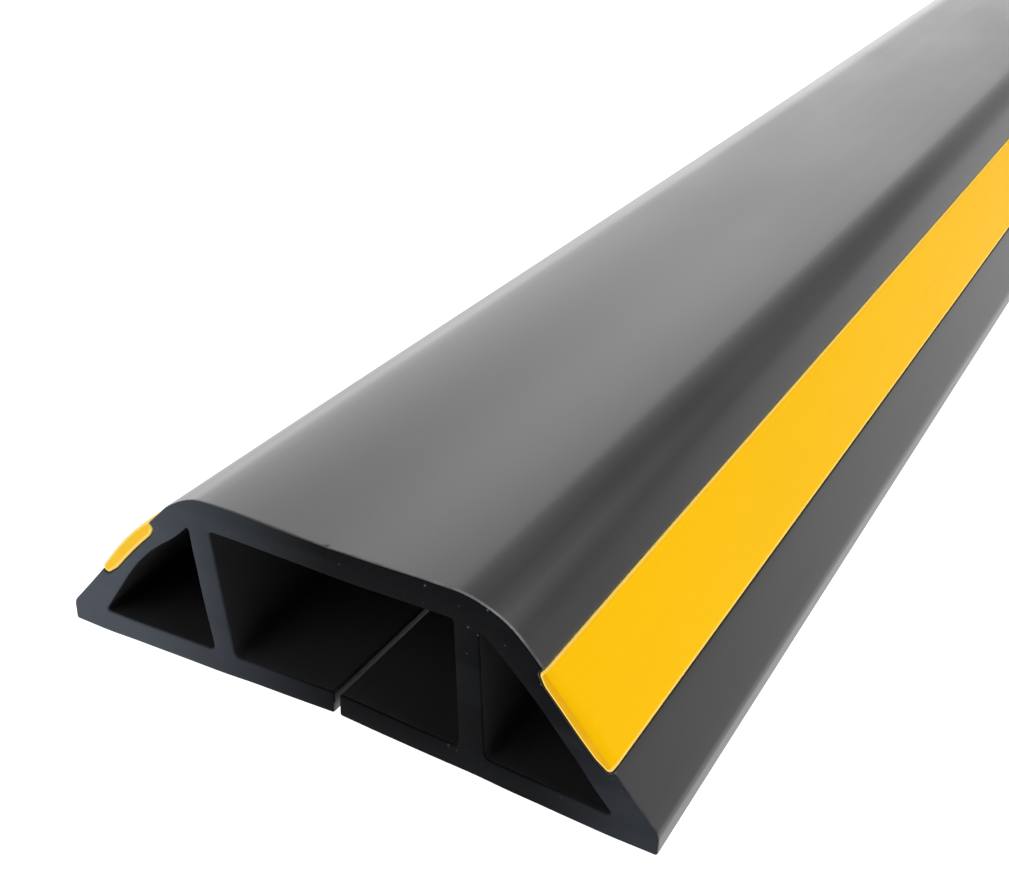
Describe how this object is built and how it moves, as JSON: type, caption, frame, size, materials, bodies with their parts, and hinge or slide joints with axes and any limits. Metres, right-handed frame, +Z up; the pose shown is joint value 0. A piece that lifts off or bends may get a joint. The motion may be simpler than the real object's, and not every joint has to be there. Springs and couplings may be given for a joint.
{
  "type": "floor cord cover",
  "caption": "Flexible black floor cord cover: a flat top with two ramps, a wide cable channel between small side channels, a slit base and a yellow warning strip along each ramp.",
  "frame": {"origin": "on the floor, under the middle of the cover's width and length", "axes": "+X across the cover to one foot, +Y along its length, +Z up from the floor through the flat top"},
  "size_m": [0.083, 1, 0.025],
  "materials": {
    "black_rubber": "satin, cut ends matt",
    "yellow_rubber": "satin"
  },
  "bodies": {
    "root": {"cover_body": "black_rubber", "warning_strip_right": "yellow_rubber", "warning_strip_left": "yellow_rubber"}
  },
  "joints": []
}
